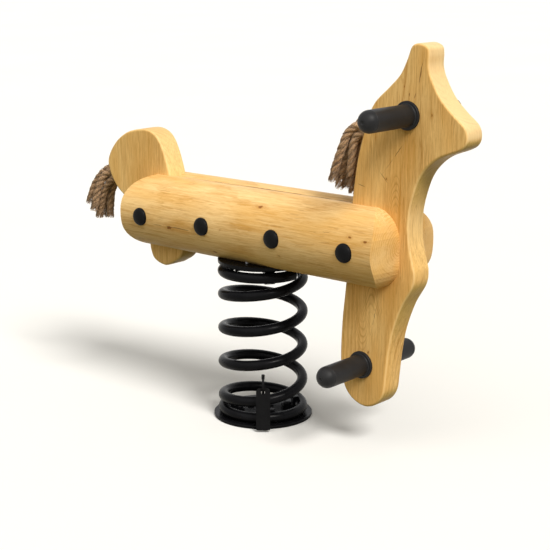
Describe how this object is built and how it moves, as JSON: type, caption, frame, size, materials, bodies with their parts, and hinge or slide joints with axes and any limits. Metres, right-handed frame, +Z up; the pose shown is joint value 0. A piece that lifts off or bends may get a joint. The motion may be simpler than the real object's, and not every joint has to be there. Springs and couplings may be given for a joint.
{
  "type": "spring rider",
  "caption": "Horse-shaped wooden spring rider: round log seat, head and tail boards, rope mane and tail, handle, footrest, coil spring and round base plate.",
  "frame": {"origin": "centre of the base plate's underside, on the spring's axis", "axes": "+X the way the rider faces, +Y the rider's left, +Z up"},
  "size_m": [0.996, 0.2948, 0.7699],
  "materials": {
    "powder_coat": "satin black powder coat",
    "spring_coat": "satin black powder coat",
    "zinc": "zinc plated",
    "log_wood": "sanded and oiled robinia",
    "board_wood": "sanded and oiled robinia",
    "black_plastic": "satin moulded",
    "tag_plastic": "satin",
    "tie_plastic": "satin",
    "rope": "twisted rope"
  },
  "bodies": {
    "base": {"base_plate": "powder_coat", "base_clamp_1": "zinc", "base_clamp_2": "zinc", "base_clamp_3": "zinc", "base_clamp_bolt_1": "zinc", "base_clamp_bolt_2": "zinc", "base_clamp_bolt_3": "zinc"},
    "turn": {"cable_tie": "tie_plastic"},
    "tag": {"tag": "tag_plastic"},
    "spring": {"coil_spring": "spring_coat"},
    "rider": {"top_plate": "powder_coat", "left_log": "log_wood", "right_log": "log_wood", "head_board": "board_wood", "tail_board": "board_wood", "handle_bar": "zinc", "footrest_bar": "zinc", "top_clamp_1": "zinc", "top_clamp_bolt_1": "zinc", "top_clamp_2": "zinc", "top_clamp_bolt_2": "zinc", "top_clamp_3": "zinc", "top_clamp_bolt_3": "zinc", "seat_screw_1": "zinc", "cross_bolt_1": "zinc", "flange_nut_1": "zinc", "bolt_cap_left_1": "black_plastic", "bolt_cap_right_1": "black_plastic", "seat_screw_2": "zinc", "cross_bolt_2": "zinc", "flange_nut_2": "zinc", "bolt_cap_left_2": "black_plastic", "bolt_cap_right_2": "black_plastic", "seat_screw_3": "zinc", "cross_bolt_3": "zinc", "flange_nut_3": "zinc", "bolt_cap_left_3": "black_plastic", "bolt_cap_right_3": "black_plastic", "seat_screw_4": "zinc", "cross_bolt_4": "zinc", "flange_nut_4": "zinc", "bolt_cap_left_4": "black_plastic", "bolt_cap_right_4": "black_plastic", "handle_grip_left": "black_plastic", "handle_grip_right": "black_plastic", "footrest_grip_left": "black_plastic", "footrest_grip_right": "black_plastic", "mane_rope_1": "rope", "mane_rope_2": "rope", "mane_rope_3": "rope", "mane_rope_4": "rope", "mane_rope_5": "rope", "tail_rope_1": "rope", "tail_rope_2": "rope", "tail_rope_3": "rope", "tail_rope_4": "rope", "tail_rope_5": "rope"}
  },
  "joints": [
    {"name": "bounce", "type": "slide", "parent": "base", "child": "turn", "axis": [0, 0, 1], "range_m": [-0.005, 0.003], "stiffness_N_per_m": 88000, "springref_m": 0.00255, "deforming": ["coil_spring"]},
    {"name": "tag_swing", "type": "hinge", "parent": "turn", "child": "tag", "pos_m": [0.06607, -0.07573, 0.0775], "axis": [-0.7536, -0.6574, 0], "range_deg": [0, 18], "stiffness_Nm_per_rad": 0.02},
    {"name": "rock_fore_aft", "type": "hinge", "parent": "turn", "child": "spring", "pos_m": [0, 0, 0.125], "axis": [0, 1, 0], "range_deg": [-14, 12], "stiffness_Nm_per_rad": 635, "springref_deg": -1.11, "deforming": ["coil_spring"]},
    {"name": "rock_sideways", "type": "hinge", "parent": "spring", "child": "rider", "pos_m": [0, 0, 0.21], "axis": [1, 0, 0], "range_deg": [-10, 10], "stiffness_Nm_per_rad": 635, "deforming": ["coil_spring"]}
  ]
}
